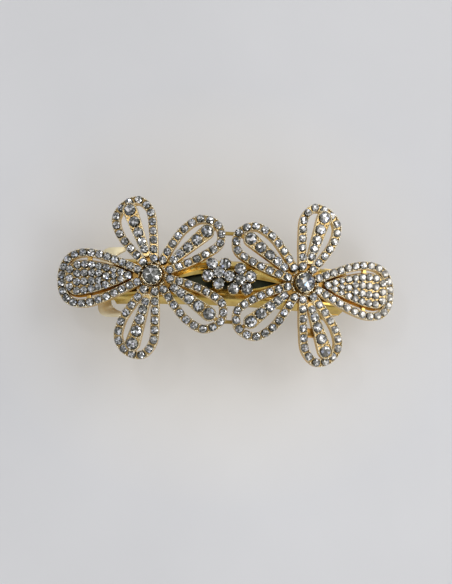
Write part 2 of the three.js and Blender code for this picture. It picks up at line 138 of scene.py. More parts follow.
# %% [markdown]
# ## Floor and light
# A pale floor, one large soft light behind the clip, a weaker one in front, a small one for glints
# and the walls of the room are all the light that a tabletop picture needs. The large light stands
# behind and to the right, so the soft shadow falls towards the viewer, where the front light fills
# it. The walls are dark at eye level and pale higher up: polished metal and cut stones only look
# like themselves when they have something dark to mirror. White plaster passes light on inside
# itself, which fills its shadows. A faint painted glow of the floor stands for that, painted a
# little warmer near the clip as the light that gold throws down.

# %% Floor
def new_material(name):
    material = bpy.data.materials.new(name)
    material.use_nodes = True
    nodes = material.node_tree.nodes
    return material, nodes, nodes["Principled BSDF"]


def ramp(nodes, stops):
    node = nodes.new("ShaderNodeValToRGB")
    elements = node.color_ramp.elements
    while len(elements) < len(stops):
        elements.new(0.5)
    for element, (place, colour) in zip(elements, stops):
        element.position = place
        element.color = (*colour, 1)
    return node


def join(giver, output, taker, entry):
    giver.id_data.links.new(giver.outputs[output], taker.inputs[entry])


def feed(value, socket):
    """Joins another node's output to a socket, or sets a fixed value on it."""
    if isinstance(value, bpy.types.NodeSocket):
        socket.id_data.links.new(value, socket)
    else:
        socket.default_value = value


def dial(node, values):
    for name, value in values.items():
        feed(value, node.inputs[name])


def grain(nodes, scale, detail=3.0, stretch=(1, 1, 1)):
    place = nodes.new("ShaderNodeTexCoord")
    mapping = nodes.new("ShaderNodeMapping")
    dial(mapping, {"Scale": stretch})
    noise = nodes.new("ShaderNodeTexNoise")
    dial(noise, {"Scale": scale, "Detail": detail})
    join(place, "Object", mapping, "Vector")
    join(mapping, "Vector", noise, "Vector")
    return noise


plaster, nodes, shader = new_material("pale_plaster")
cloudy = grain(nodes, 9, 5)
tone = ramp(nodes, [(0.3, (0.405, 0.409, 0.418)), (0.7, (0.46, 0.464, 0.474))])
join(cloudy, "Fac", tone, "Fac")
join(tone, "Color", shader, "Base Color")
# Painted light: the floor glows to lift its shadows, and glows warmer near the clip as a painted
# bounce from the gold.
dial(shader, {"Roughness": 0.75, "Emission Strength": 1.0})
place = nodes.new("ShaderNodeTexCoord")
wide = nodes.new("ShaderNodeMapping")
dial(wide, {"Scale": (13, 15, 13)})
nearness = nodes.new("ShaderNodeTexGradient")
nearness.gradient_type = "SPHERICAL"
painted_floor_glow = ramp(nodes, [(0.0, (0.175, 0.175, 0.185)), (0.5, (0.24, 0.222, 0.195))])
join(place, "Object", wide, "Vector")
join(wide, "Vector", nearness, "Vector")
join(nearness, "Fac", painted_floor_glow, "Fac")
join(painted_floor_glow, "Color", shader, "Emission Color")

floor_mesh = bpy.data.meshes.new("floor")
corners = [(-3, -3, 0), (3, -3, 0), (3, 3, 0), (-3, 3, 0)]
floor_mesh.from_pydata(corners, [], [(0, 1, 2, 3)])
floor_mesh.materials.append(plaster)
floor = bpy.data.objects.new("floor", floor_mesh)
bpy.context.scene.collection.objects.link(floor)
floor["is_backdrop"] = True

# %% Lights
def calculate(nodes, operation, *values):
    node = nodes.new("ShaderNodeMath")
    node.operation = operation
    for value, socket in zip(values, node.inputs):
        feed(value, socket)
    return node.outputs["Value"]


def soft_light(name, place, width, watts, colour):
    data = bpy.data.lights.new(name, "AREA")
    data.shape = "DISK"
    data.size = width
    data.energy = watts
    data.color = colour
    light = bpy.data.objects.new(name, data)
    light.location = place
    light.rotation_euler = (stone_level - Vector(place)).to_track_quat("-Z", "Y").to_euler()
    bpy.context.scene.collection.objects.link(light)


soft_light("window", (0.62, 0.34, 0.56), 0.8, 4.0, (1, 0.99, 0.98))
soft_light("front_lamp", (0.4, -0.5, 0.46), 0.5, 2.0, (1, 0.99, 0.98))
soft_light("small_lamp", (-0.28, 0.2, 0.62), 0.08, 0.25, (1, 1, 1))

world = bpy.data.worlds.new("room")
world.use_nodes = True
bpy.context.scene.world = world
nodes = world.node_tree.nodes
direction = nodes.new("ShaderNodeTexCoord")
split = nodes.new("ShaderNodeSeparateXYZ")
walls = ramp(
    nodes,
    [
        (0.0, (0.3, 0.29, 0.28)),
        (0.5, (0.14, 0.14, 0.13)),
        (0.66, (0.32, 0.32, 0.31)),
        (0.82, (0.7, 0.7, 0.71)),
        (0.97, (0.55, 0.55, 0.55)),
    ],
)
join(direction, "Generated", split, "Vector")
height = calculate(nodes, "MULTIPLY_ADD", split.outputs["Z"], 0.5, 0.5)
feed(height, walls.inputs["Fac"])
dial(nodes["Background"], {"Color": walls.outputs["Color"], "Strength": 1.0})
print("floor, 3 lights and a room")

# %% [markdown]
# ## Metal finishes
# The casting is brass with a thin bright gold plating. Plating follows every small unevenness of
# the metal below it, so the colour drifts a little, the gloss varies in patches and fine
# polishing lines break up the mirror. The casting is also painted deeper and more orange lower
# down, as painted shade and the painted warm light that gold throws between its walls: a value
# called depth, stored on the points of the casting, says how far below the stones a point lies.
# The same recipe with other colours gives the other metals.

# %% One recipe for plated metal
def attribute(nodes, name):
    node = nodes.new("ShaderNodeAttribute")
    node.attribute_name = name
    return node.outputs["Fac"]


def blended(nodes, kind, amount, under, over):
    node = nodes.new("ShaderNodeMix")
    node.data_type = "RGBA"
    node.blend_type = kind
    feed(amount, node.inputs[0])
    feed(under, node.inputs[6])
    feed(over, node.inputs[7])
    return node.outputs[2]


def bumped(nodes, height, strength, distance):
    node = nodes.new("ShaderNodeBump")
    dial(node, {"Strength": strength, "Distance": distance, "Height": height})
    return node


def plated(name, light, deep, roughness, depth_shade_stops=None, lines=0.25, uneven=0.3):
    material, nodes, shader = new_material(name)
    patches = grain(nodes, 260, 4)
    colour = ramp(nodes, [(0.35, deep), (0.65, light)])
    join(patches, "Fac", colour, "Fac")
    paint = colour.outputs["Color"]
    # Painted shade: the colour is darkened and warmed by the depth attribute.
    if depth_shade_stops:
        painted_shade = ramp(nodes, depth_shade_stops)
        feed(attribute(nodes, "depth"), painted_shade.inputs["Fac"])
        paint = blended(nodes, "MULTIPLY", 1, paint, painted_shade.outputs["Color"])
    feed(paint, shader.inputs["Base Color"])
    dial(shader, {"Metallic": 1})
    polish = grain(nodes, 700, 2, (1, 6, 1))
    gloss = nodes.new("ShaderNodeMapRange")
    dial(gloss, {"To Min": roughness * 0.7, "To Max": roughness * 1.4})
    join(polish, "Fac", gloss, "Value")
    join(gloss, "Result", shader, "Roughness")
    scratches = bumped(nodes, polish.outputs["Fac"], lines, 0.03 * MM)
    waves = bumped(nodes, patches.outputs["Fac"], uneven, 0.3 * MM)
    join(scratches, "Normal", waves, "Normal")
    join(waves, "Normal", shader, "Normal")
    return material


# Painted shade on the casting by depth: the lips left as they are, the walls darker and more
# orange from shallow to deep, and the foot painted dark as in shadow.
DEPTH_SHADE = [(0.0, (1, 1, 1)), (0.12, (0.7, 0.58, 0.4)), (0.25, (1.0, 0.8, 0.42))]
DEPTH_SHADE += [(0.8, (1.0, 0.76, 0.34)), (1.0, (0.36, 0.24, 0.1))]
cast_gold = plated("cast_gold", (0.75, 0.66, 0.45), (0.6, 0.49, 0.28), 0.26, DEPTH_SHADE)
dark_gold = plated("dark_gold", (0.5, 0.35, 0.1), (0.26, 0.17, 0.05), 0.3)
pressed_gold = plated("pressed_gold", (0.74, 0.55, 0.18), (0.52, 0.36, 0.08), 0.2, uneven=0.45)
bead_gold = plated("bead_gold", (0.95, 0.88, 0.7), (0.83, 0.72, 0.49), 0.16)
cream_gold = plated("cream_gold", (0.96, 0.89, 0.67), (0.88, 0.78, 0.52), 0.38)
# The leaf spring is coloured near black with a green cast, as dark as the slot above it looks.
blued_steel = plated("blued_steel", (0.05, 0.055, 0.035), (0.02, 0.024, 0.016), 0.35)
print("metals:", [m.name for m in bpy.data.materials if m is not plaster])

# %% [markdown]
# ## The stones' finish
# A rhinestone is clear glass with a mirror painted on its back. Each small facet shows a different
# piece of the room through the glass, so on one stone some facets are nearly black, most are
# grey and one or two flash white. Tracing that through glass needs long renders, so each facet is
# given its own tone instead, a painted reflection. A white noise of the facet's number and the
# stone's number gives a chance value, and how much light that kind of facet returns, high in the
# table and low on the back, scales it. A finer noise adds painted glints. A few facets add a
# painted flash of colour. At the hinge end the arch turns the stones towards the window, so a
# painted pale glare draws their tones together. A hard clear coat on top adds the real mirror of
# the lights.

# %% Crystal
# Painted glare: from where, to where and how far the stones at the hinge end are mixed to pale
# grey.
GLARE_FROM, GLARE_TO = 18 * MM, 50 * MM
GLARE_MOST = 0.78
GLARE_COLOUR = (0.37, 0.345, 0.3, 1)

crystal, nodes, shader = new_material("foiled_crystal")
# Painted reflection: each facet's tone comes from its number, the stone's number and its kind of
# facet.
pair = nodes.new("ShaderNodeCombineXYZ")
dial(pair, {"X": attribute(nodes, "facet"), "Y": attribute(nodes, "shade")})
scatter = nodes.new("ShaderNodeTexWhiteNoise")
scatter.noise_dimensions = "3D"
join(pair, "Vector", scatter, "Vector")
glints = grain(nodes, 1600, 1)
chance = calculate(nodes, "POWER", scatter.outputs["Value"], 2.2)
spread = calculate(nodes, "MULTIPLY_ADD", glints.outputs["Fac"], 0.5, chance)
returned = calculate(nodes, "MULTIPLY", spread, attribute(nodes, "bright"))
tones = ramp(
    nodes,
    [
        (0.0, (0.03, 0.032, 0.026)),
        (0.28, (0.055, 0.058, 0.046)),
        (0.42, (0.18, 0.18, 0.16)),
        (0.62, (0.42, 0.415, 0.39)),
        (0.82, (1, 1, 1)),
    ],
)
feed(returned, tones.inputs["Fac"])
hues = ramp(
    nodes,
    [
        (0.0, (0.1, 0.26, 1)),
        (0.46, (0.25, 0.5, 1)),
        (0.6, (1, 1, 1)),
        (0.8, (0.75, 0.65, 1)),
        (0.95, (1, 0.75, 0.4)),
    ],
)
tint = nodes.new("ShaderNodeSeparateColor")
join(scatter, "Color", tint, "Color")
join(tint, "Blue", hues, "Fac")
fire = attribute(nodes, "fire")
flash = blended(nodes, "MULTIPLY", fire, tones.outputs["Color"], hues.outputs["Color"])
# Painted glare, growing along the clip towards the hinge end.
where = nodes.new("ShaderNodeTexCoord")
split = nodes.new("ShaderNodeSeparateXYZ")
lit = nodes.new("ShaderNodeMapRange")
dial(lit, {"From Min": GLARE_FROM, "From Max": GLARE_TO, "To Max": GLARE_MOST})
join(where, "Object", split, "Vector")
join(split, "X", lit, "Value")
painted_glare = blended(nodes, "MIX", lit.outputs["Result"], flash, GLARE_COLOUR)
feed(painted_glare, shader.inputs["Base Color"])
dial(shader, {"Metallic": 0.6, "Roughness": 0.1, "Coat Weight": 1, "Coat Roughness": 0.02})
print("stones:", crystal.name)

# %% [markdown]
# ## Patterns for what repeats
# Two small shapes are repeated hundreds of times: a cut stone, and a round bead of metal that is
# also a claw's tip. Each is made once at unit size. The stone is a simple brilliant: a table with
# eight corners, eight star facets, eight kites and sixteen girdle facets over a pointed back. The
# table is divided and its middle lies a little deeper, as the back facets look when seen through
# it. Two finer cuts with twelve corners, one clear and one with blue fire, wait for the centres.

# %% Helpers that turn points and faces into pieces
def link(name, mesh):
    piece = bpy.data.objects.new(name, mesh)
    bpy.context.scene.collection.objects.link(piece)
    return piece


def close_up(mesh_builder, name, smooth_angle=None):
    bmesh.ops.remove_doubles(mesh_builder, verts=mesh_builder.verts, dist=1e-7)
    bmesh.ops.recalc_face_normals(mesh_builder, faces=mesh_builder.faces)
    mesh = bpy.data.meshes.new(name)
    mesh_builder.to_mesh(mesh)
    mesh_builder.free()
    if smooth_angle:
        mesh.shade_smooth()
        mesh.set_sharp_from_angle(angle=math.radians(smooth_angle))
    return mesh


def finished(mesh_builder, name, smooth_angle, finish):
    mesh = close_up(mesh_builder, name, smooth_angle)
    mesh.materials.clear()
    mesh.materials.append(finish)
    print(name, len(mesh.polygons), "faces")
    return link(name, mesh)


def skin(builder, rows, closed):
    """Quads between rows of points that each close on themselves, and caps at the ends."""
    for one, two in list(zip(rows, rows[1:])) + ([(rows[-1], rows[0])] if closed else []):
        for k in range(len(one)):
            after = (k + 1) % len(one)
            builder.faces.new((one[k], one[after], two[after], two[k]))
    if not closed:
        builder.faces.new(rows[0])
        builder.faces.new(rows[-1])


def ring(radius, height, count, turn=0.0):
    angles = [(k + turn) * 2 * math.pi / count for k in range(count)]
    return [Vector((radius * math.cos(a), radius * math.sin(a), height)) for a in angles]


TABLE_RADIUS, TABLE_SINK = 0.56, 0.05
SHOULDER_RADIUS, SHOULDER_HEIGHT = 0.82, 0.27
BACK_DEPTH = 0.75
# Painted reflection: how much light each kind of facet returns, from the table down to the back.
FACET_LIGHT = [0.94, 0.86, 0.82, 0.64, 0.64, 0.1, 0.1]
FIERY_SHARE = 0.3


def cut_stone(name, seed, fold=8, fire=0.4, contrast=0.0, brightness=1.0):
    chance = random.Random(seed)
    points = [Vector((0, 0, CROWN_HEIGHT - TABLE_SINK))]
    points += ring(TABLE_RADIUS, CROWN_HEIGHT, fold)
    points += ring(SHOULDER_RADIUS, SHOULDER_HEIGHT, fold, 0.5)
    points += ring(1.0, 0.0, 2 * fold)
    back = len(points)
    points.append(Vector((0, 0, -BACK_DEPTH)))
    faces, light = [], []
    for k in range(fold):
        after = (k + 1) % fold
        t0, t1 = 1 + k, 1 + after
        s0 = 1 + fold + k
        g0, g1, g2 = (1 + 2 * fold + (2 * k + step) % (2 * fold) for step in (0, 1, 2))
        before = 1 + fold + (k - 1) % fold
        faces += [(0, t0, t1), (t0, s0, t1), (t0, before, g0, s0)]
        faces += [(s0, g0, g1), (s0, g1, g2), (g0, back, g1), (g1, back, g2)]
        light += FACET_LIGHT
    mesh = bpy.data.meshes.new(name)
    mesh.from_pydata(points, [], faces)
    for label in ("facet", "bright", "fire"):
        mesh.attributes.new(label, "FLOAT", "FACE")
    for k, much in enumerate(light):
        mesh.attributes["facet"].data[k].value = chance.random() * 9
        much *= brightness + chance.choice((-1, 1)) * contrast
        mesh.attributes["bright"].data[k].value = much
        fiery = chance.random() < FIERY_SHARE
        mesh.attributes["fire"].data[k].value = fire if fiery else fire * 0.2
    return link(name, mesh)


def round_bead(name, segments=8, rings=5):
    builder = bmesh.new()
    bmesh.ops.create_uvsphere(builder, u_segments=segments, v_segments=rings, radius=1)
    mesh = close_up(builder, name)
    mesh.shade_smooth()
    return link(name, mesh)


small_cut = cut_stone("small_cut", 3)
clear_cut = cut_stone("clear_cut", 8, 12, 0.1, 0.38, 0.8)
blue_cut = cut_stone("blue_cut", 13, 12, 1.0, 0.36, 0.86)
bead_shape = round_bead("bead_shape")
patterns = [small_cut, clear_cut, blue_cut, bead_shape]
print("patterns:", [(p.name, len(p.data.polygons)) for p in patterns])

# %% [markdown]
# ## A tree that sets one pattern on many points
# A stone setter works down a row: the next stone goes in its seat, square to the surface but never
# quite, and turned at random. The node tree does the same. It takes points that carry a
# direction and a size, sets the pattern on each, leans it by a small random angle, gives it its
# own random number for the finish, and turns the copies into real mesh at the end.

# %% Build the setting tree
def named(nodes, name, kind):
    node = nodes.new("GeometryNodeInputNamedAttribute")
    node.data_type = kind
    dial(node, {"Name": name})
    return node.outputs["Attribute"]


def new_tree(name, given, result):
    """An empty tree, with its inputs by name and kind and one geometry coming out."""
    tree = bpy.data.node_groups.new(name, "GeometryNodeTree")
    for label, kind in given.items():
        tree.interface.new_socket(label, in_out="INPUT", socket_type="NodeSocket" + kind)
    tree.interface.new_socket(result, in_out="OUTPUT", socket_type="NodeSocketGeometry")
    start, end = tree.nodes.new("NodeGroupInput"), tree.nodes.new("NodeGroupOutput")
    return tree, tree.nodes, start, end


def setting_tree():
    sizes = {"Points": "Geometry", "Pattern": "Object", "Lean": "Float", "Seed": "Int"}
    sizes["Finish"] = "Material"
    tree, nodes, given, result = new_tree("Set on points", sizes, "Set pieces")
    pattern = nodes.new("GeometryNodeObjectInfo")
    join(given, "Pattern", pattern, "Object")
    square = nodes.new("FunctionNodeAlignRotationToVector")
    square.axis = "Z"
    feed(named(nodes, "facing", "FLOAT_VECTOR"), square.inputs["Vector"])
    least = nodes.new("ShaderNodeCombineXYZ")
    most = nodes.new("ShaderNodeCombineXYZ")
    minus = nodes.new("ShaderNodeMath")
    minus.operation = "MULTIPLY"
    minus.inputs[1].default_value = -1
    feed(given.outputs["Lean"], minus.inputs[0])
    for axis in ("X", "Y"):
        feed(minus.outputs["Value"], least.inputs[axis])
        feed(given.outputs["Lean"], most.inputs[axis])
    dial(most, {"Z": 2 * math.pi})
    chance = nodes.new("FunctionNodeRandomValue")
    chance.data_type = "FLOAT_VECTOR"
    join(least, "Vector", chance, "Min")
    join(most, "Vector", chance, "Max")
    join(given, "Seed", chance, "Seed")
    lean = nodes.new("FunctionNodeEulerToRotation")
    join(chance, "Value", lean, "Euler")
    turn = nodes.new("FunctionNodeRotateRotation")
    turn.rotation_space = "LOCAL"
    join(square, "Rotation", turn, "Rotation")
    join(lean, "Rotation", turn, "Rotate By")
    copies = nodes.new("GeometryNodeInstanceOnPoints")
    join(given, "Points", copies, "Points")
    join(pattern, "Geometry", copies, "Instance")
    join(turn, "Rotation", copies, "Rotation")
    feed(named(nodes, "size", "FLOAT"), copies.inputs["Scale"])
    number = nodes.new("FunctionNodeRandomValue")
    number.data_type = "FLOAT"
    join(given, "Seed", number, "Seed")
    keep = nodes.new("GeometryNodeStoreNamedAttribute")
    keep.data_type = "FLOAT"
    keep.domain = "INSTANCE"
    dial(keep, {"Name": "shade"})
    join(copies, "Instances", keep, "Geometry")
    feed(number.outputs[1], keep.inputs["Value"])
    real = nodes.new("GeometryNodeRealizeInstances")
    join(keep, "Geometry", real, "Geometry")
    finish = nodes.new("GeometryNodeSetMaterial")
    join(real, "Geometry", finish, "Geometry")
    join(given, "Finish", finish, "Material")
    join(finish, "Geometry", result, "Set pieces")
    return tree


set_on_points = setting_tree()
print("tree:", set_on_points.name, len(set_on_points.nodes), "nodes")

# %% Run a tree on a mesh and keep the plain result
def run_tree(piece, tree, **sizes):
    modifier = piece.modifiers.new(tree.name, "NODES")
    modifier.node_group = tree
    for item in tree.interface.items_tree:
        if item.in_out == "INPUT" and item.name in sizes:
            modifier[item.identifier] = sizes[item.name]
    bpy.context.view_layer.update()
    graph = bpy.context.evaluated_depsgraph_get()
    plain = bpy.data.meshes.new_from_object(
        piece.evaluated_get(graph), preserve_all_data_layers=True, depsgraph=graph
    )
    plain.name = piece.name
    piece.modifiers.clear()
    piece.data = plain
    return piece


def set_pieces(name, places, pattern, finish, lean=0.0, seed=1):
    """places are (point in metres, direction, radius in millimetres)."""
    mesh = bpy.data.meshes.new(name)
    mesh.from_pydata([place for place, _, _ in places], [], [])
    mesh.attributes.new("facing", "FLOAT_VECTOR", "POINT")
    mesh.attributes.new("size", "FLOAT", "POINT")
    for k, (_, direction, radius) in enumerate(places):
        mesh.attributes["facing"].data[k].vector = direction
        mesh.attributes["size"].data[k].value = radius * MM
    sizes = {"Pattern": pattern, "Lean": lean, "Seed": seed, "Finish": finish}
    piece = run_tree(link(name, mesh), set_on_points, **sizes)
    print(name, len(places), "set,", len(piece.data.polygons), "faces")
    return piece


# %% [markdown]
# ## A tree that runs beads along an edge
# Jewellers finish a thin edge with milgrain, a row of tiny beads rolled along it. Here the edge is
# a line of points. The tree resamples it to one point a bead, so the beads stay evenly spaced
# round every bend, and puts a small sphere on each.

# %% Build the milgrain tree
def milgrain_tree():
    sizes = {"Edges": "Geometry", "Spacing": "Float", "Radius": "Float", "Finish": "Material"}
    tree, nodes, given, result = new_tree("Milgrain along edges", sizes, "Beads")
    curve = nodes.new("GeometryNodeMeshToCurve")
    even = nodes.new("GeometryNodeResampleCurve")
    even.mode = "LENGTH"
    ball = nodes.new("GeometryNodeMeshIcoSphere")
    dial(ball, {"Subdivisions": 1})
    copies = nodes.new("GeometryNodeInstanceOnPoints")
    real = nodes.new("GeometryNodeRealizeInstances")
    smooth = nodes.new("GeometryNodeSetShadeSmooth")
    finish = nodes.new("GeometryNodeSetMaterial")
    join(given, "Edges", curve, "Mesh")
    join(curve, "Curve", even, "Curve")
    join(given, "Spacing", even, "Length")
    join(given, "Radius", ball, "Radius")
    join(even, "Curve", copies, "Points")
    join(ball, "Mesh", copies, "Instance")
    join(copies, "Instances", real, "Geometry")
    join(real, "Geometry", smooth, "Geometry")
    join(smooth, "Geometry", finish, "Geometry")
    join(given, "Finish", finish, "Material")
    join(finish, "Geometry", result, "Beads")
    return tree


milgrain = milgrain_tree()


def bead_edges(name, lines, spacing, radius, finish):
    points, edges = [], []
    for line in lines:
        start = len(points)
        points += line
        edges += [(start + k, start + k + 1) for k in range(len(line) - 1)]
    mesh = bpy.data.meshes.new(name)
    mesh.from_pydata(points, edges, [])
    sizes = {"Spacing": spacing * MM, "Radius": radius * MM, "Finish": finish}
    piece = run_tree(link(name, mesh), milgrain, **sizes)
    print(name, len(piece.data.polygons), "faces")
    return piece


# %% [markdown]
# ## The flower's outline
# A flower has five petals: two tall ones, two that lean inwards and a long one at the end. Each is
# a loop of metal with one row of stones, drawn with a few points and a smooth curve through them.
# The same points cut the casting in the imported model, so the two agree.

# %% Outlines of one flower, in millimetres
TALL_PETAL = [(2.6, 4.2), (6.3, 8.7), (9.5, 13.7), (10.4, 18.6), (7.8, 22.5), (3.6, 23.8)]
TALL_PETAL += [(0.4, 20.8), (-0.5, 14.0), (-0.6, 5.1)]
INWARD_PETAL = [(-3.2, 4.5), (-6.2, 9.3), (-9.9, 14.0), (-15.1, 16.9), (-20.1, 14.6)]
INWARD_PETAL += [(-20.6, 9.4), (-16.0, 5.8), (-10.5, 3.2), (-5.2, 1.4)]
END_HALF = [(4.4, 1.9), (9.7, 4.4), (14.8, 6.6), (20.2, 7.8), (24.3, 6.9), (26.5, 3.8)]
END_PETAL = END_HALF + [(27.0, 0)] + [(x, -y) for x, y in reversed(END_HALF)]
TALL_BAR = ((1.7, 6.9), (6.0, 20.4))
INWARD_BAR = ((-6.4, 4.3), (-16.6, 12.5))
BAR_RADII = (1.2, 2.2)
PANEL_NECK = 6.2
PANEL_HALF = [(9.0, 2.0), (14.0, 3.8), (19.2, 5.1), (23.3, 5.0), (25.3, 2.6)]
PANEL_TIP = 25.8
TALL_STRUT = ((-0.4, 15.0), (4.0, 15.0))
INWARD_STRUT = ((-16.6, 12.5), (-19.9, 14.8))
PANEL_STRUT = ((19.0, 4.2), (19.0, 7.6))

FLOWER_SPACING = 46
END_TURN = -2.2
LOOP_WIDTH = 2.5
LOOP_STEPS, LOOP_STONES = 60, 17
END_STEPS, END_STONES = 84, 24
CAST_DEPTH = 1.8
HUB_INNER, HUB_OUTER = 3.4, 6.2
BAR_RISE, PANEL_RISE = 1.3, 0.7
FLOWERS = {"left": (-1, 3.5), "right": (1, 2.1)}


def placer(flower, end=False, rise=0.0, reach=1.0):
    """A function from a point of the flat flower to the flat ornament: x, y and height."""
    side, turn = FLOWERS[flower]
    turn = math.radians(turn)
    own = math.radians(END_TURN) if end else 0.0

    def place(x, y, z=0.0):
        z += rise * math.hypot(x, y) / reach
        flat = Vector((x, y)) @ Matrix.Rotation(-own - turn, 2)
        return flat.x + side * FLOWER_SPACING / 2, flat.y, z

    return place


def mirrored(points, side, far):
    return [(side * x, far * y) for x, y in points]


def panel_placer(flower):
    return placer(flower, end=True, rise=PANEL_RISE, reach=PANEL_TIP)


def bars_of(flower):
    """The placer, root and tip of a flower's four bars."""
    for far in (-1, 1):
        for bar in (TALL_BAR, INWARD_BAR):
            root, tip = mirrored(bar, FLOWERS[flower][0], far)
            yield placer(flower, rise=BAR_RISE, reach=math.hypot(*tip)), root, tip


# %% A smooth path through a few points, evenly divided
def smooth_path(points, steps, closed=False):
    p = [Vector(q) for q in points]
    ends = [2 * p[0] - p[1]] + p + [2 * p[-1] - p[-2]]
    if closed:
        ends = [p[-1]] + p + [p[0], p[1]]
    fine = []
    for a, b, c, d in zip(ends, ends[1:], ends[2:], ends[3:]):
        ab, bc, cd = (math.sqrt((v - u).length) for u, v in ((a, b), (b, c), (c, d)))
        out = ((b - a) / ab - (c - a) / (ab + bc) + (c - b) / bc) * bc
        into = ((c - b) / bc - (d - b) / (bc + cd) + (d - c) / cd) * bc
        for k in range(24):
            t = k / 24
            fine.append(
                (2 * t**3 - 3 * t**2 + 1) * b
                + (t**3 - 2 * t**2 + t) * out
                + (3 * t**2 - 2 * t**3) * c
                + (t**3 - t**2) * into
            )
    fine.append(p[0] if closed else p[-1])
    lengths = [0.0]
    for u, v in zip(fine, fine[1:]):
        lengths.append(lengths[-1] + (v - u).length)
    even, k = [], 0
    for step in range(steps + (0 if closed else 1)):
        want = lengths[-1] * step / steps
        while k < len(fine) - 2 and lengths[k + 1] < want:
            k += 1
        part = (want - lengths[k]) / (lengths[k + 1] - lengths[k])
        even.append(fine[k].lerp(fine[k + 1], part))
    return even


def sideways(path, closed=False):
    """The unit vector to the left of the path at each of its points."""
    count = len(path)
    result = []
    for k in range(count):
        before = path[k - 1] if k or closed else path[k]
        after = path[(k + 1) % count] if k < count - 1 or closed else path[k]
        along = (after - before).normalized()
        result.append(Vector((-along.y, along.x)))
    return result


print("tall petal", len(smooth_path(TALL_PETAL, LOOP_STEPS)), "points")

# %% [markdown]
# ## Casting the flowers
# The real flower is cast in one piece: the loops are shallow channels whose raised lips hold the
# stones, the bars and the panel are trays, and a ring joins them at the foot. Each is made as a
# closed shell: a section swept along a path for the loops and struts, and a stack of outlines,
# each a little inside the last, for the trays. The depth of each point below the stones is kept
# for the painted shade of the finish.

# %% Sweeps and stacks
DEEPEST_WALL = 0.8


class Casting:
    def __init__(self):
        self.builder = bmesh.new()
        self.depth = self.builder.verts.layers.float.new("depth")
        self.painted_shade = None

    def point(self, place, x, y, z):
        vert = self.builder.verts.new(over_arch(*place(x, y, z)))
        # Depth below the stones, or a forced value, sets how much painted shade a point gets.
        vert[self.depth] = self.painted_shade or DEEPEST_WALL * max(0.0, min(1.0, -z / CAST_DEPTH))
        return vert

    def sweep(self, place, path, section, closed=False):
        left = sideways(path, closed)
        rows = []
        for p, n in zip(path, left):
            rows.append([self.point(place, p.x + n.x * a, p.y + n.y * a, z) for a, z in section])
        skin(self.builder, rows, closed)

    def stack(self, place, outline, layers):
        """layers are (how far inside the outline, height), from the bottom up."""
        normals = sideways(outline, closed=True)
        rows = []
        for inside, z in layers:
            inner = [p + n * inside for p, n in zip(outline, normals)]
            rows.append([self.point(place, *p, z) for p in inner])
        skin(self.builder, rows, closed=False)


LIP, EDGE, TRAY = 0.22, 0.1, 0.3
half_loop = LOOP_WIDTH / 2
CHANNEL = [(-half_loop, -CAST_DEPTH + EDGE), (-half_loop, -EDGE), (-half_loop + EDGE, 0)]
CHANNEL += [(-half_loop + LIP, 0), (-half_loop + TRAY, -TRAY)]
CHANNEL += [(-a, z) for a, z in reversed(CHANNEL)]
CHANNEL += [(half_loop - EDGE, -CAST_DEPTH), (-half_loop + EDGE, -CAST_DEPTH)]
STRUT_HALF, STRUT_DROP, STRUT_CORNER = 0.6, 0.6, 0.15
RAIL = [(-STRUT_HALF, -CAST_DEPTH), (STRUT_HALF, -CAST_DEPTH)]
RAIL += [(STRUT_HALF, -STRUT_DROP - STRUT_CORNER), (STRUT_HALF - STRUT_CORNER, -STRUT_DROP)]
RAIL += [(STRUT_CORNER - STRUT_HALF, -STRUT_DROP), (-STRUT_HALF, -STRUT_DROP - STRUT_CORNER)]
WIDE_STRUT = 2.3
WIDE_RAIL = [(WIDE_STRUT * a, z) for a, z in RAIL]
HUB_HALF, HUB_BOTTOM, HUB_TOP, HUB_CORNER = (HUB_OUTER - HUB_INNER) / 2, -1.95, -0.9, 0.2
HUB = [(-HUB_HALF, HUB_BOTTOM), (-HUB_HALF, HUB_TOP - HUB_CORNER), (HUB_CORNER - HUB_HALF, HUB_TOP)]
HUB += [(-a, z) for a, z in reversed(HUB)]
TRAY_LAYERS = [(EDGE, -CAST_DEPTH), (0, -CAST_DEPTH + EDGE), (0, -EDGE), (EDGE, 0), (LIP, 0)]
TRAY_LAYERS += [(TRAY, -TRAY)]
PANEL_FLARE, PANEL_NECK_FLARE, PANEL_NECK_DROP = 0.6, 0.2, 0.6
PANEL_LAYERS = [(EDGE - PANEL_FLARE, -CAST_DEPTH), (-PANEL_FLARE, -CAST_DEPTH + EDGE)]
PANEL_LAYERS += [(-PANEL_NECK_FLARE, -PANEL_NECK_DROP)] + TRAY_LAYERS[2:]


def bar_outline(root, tip, radii, steps=9):
    """A bar with round ends, anticlockwise."""
    run = Vector(tip) - Vector(root)
    heading = math.atan2(run.y, run.x)
    outline = []
    for centre, radius, start in ((tip, radii[1], -90), (root, radii[0], 90)):
        for k in range(steps + 1):
            angle = heading + math.radians(start + 180 * k / steps)
            outline.append(Vector(centre) + radius * Vector((math.cos(angle), math.sin(angle))))
    return outline


def panel_outline(side, steps=56):
    half = mirrored(PANEL_HALF, side, 1)
    back = mirrored(reversed(PANEL_HALF), side, -1)
    loop = [(side * PANEL_NECK, 0)] + half + [(side * PANEL_TIP, 0)] + back
    path = smooth_path(loop, steps, closed=True)
    return path if side < 0 else path[::-1]


